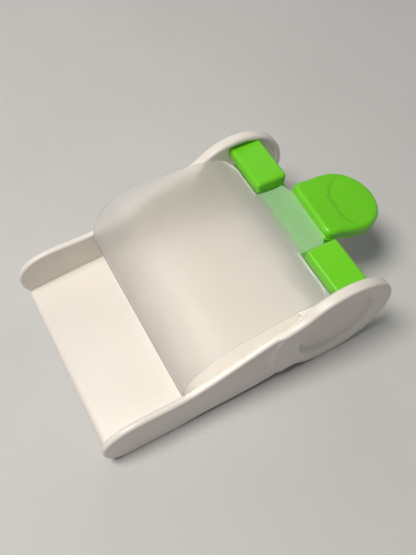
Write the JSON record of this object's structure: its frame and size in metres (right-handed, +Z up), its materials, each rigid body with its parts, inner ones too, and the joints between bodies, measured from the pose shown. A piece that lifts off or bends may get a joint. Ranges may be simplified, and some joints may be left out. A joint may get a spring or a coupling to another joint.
{
  "type": "leaf roller",
  "caption": "Hand roller for stuffed leaves: a tray between side plates with round finger grips, a folded frosted sheet and a thumb paddle that pulls it.",
  "frame": {"origin": "on the resting surface, under the middle of the object's bounding box", "axes": "+Y from the front lip of the tray to the thumb paddle, +Z up, +X to the right hand side"},
  "size_m": [0.11, 0.1826, 0.0642],
  "materials": {
    "white_plastic": "moulded, gently glossy warm white",
    "green_plastic": "moulded, glossy leaf green",
    "frosted_film": "frosted translucent sheet",
    "steel_screw": "plain screw heads"
  },
  "bodies": {
    "base": {"floor_panel": "white_plastic", "crossbar": "green_plastic", "left_side_plate": "white_plastic", "left_grip_cover": "white_plastic", "left_guide_block": "green_plastic", "left_crossbar_screw_1": "steel_screw", "left_crossbar_screw_2": "steel_screw", "left_block_screw_1": "steel_screw", "left_block_screw_2": "steel_screw", "right_side_plate": "white_plastic", "right_grip_cover": "white_plastic", "right_guide_block": "green_plastic", "right_crossbar_screw_1": "steel_screw", "right_crossbar_screw_2": "steel_screw", "right_block_screw_1": "steel_screw", "right_block_screw_2": "steel_screw", "film_clamp_strip": "white_plastic", "film_clamp_screw_1": "steel_screw", "film_clamp_screw_2": "steel_screw", "film_clamp_screw_3": "steel_screw", "film_clamp_screw_4": "steel_screw"},
    "film": {"film_sheet": "frosted_film"},
    "paddle": {"paddle_upper_shell": "green_plastic", "paddle_lower_shell": "green_plastic"}
  },
  "joints": [
    {"name": "paddle_pull", "type": "slide", "parent": "base", "child": "film", "axis": [0, 0.9781, -0.2079], "range_m": [-0.045, 0], "deforming": ["film_sheet"]},
    {"name": "paddle_tilt", "type": "hinge", "parent": "film", "child": "paddle", "pos_m": [0.00132, 0.04959, 0.0537], "axis": [0.9992, -0.0401, 0], "range_deg": [0, 80]}
  ]
}
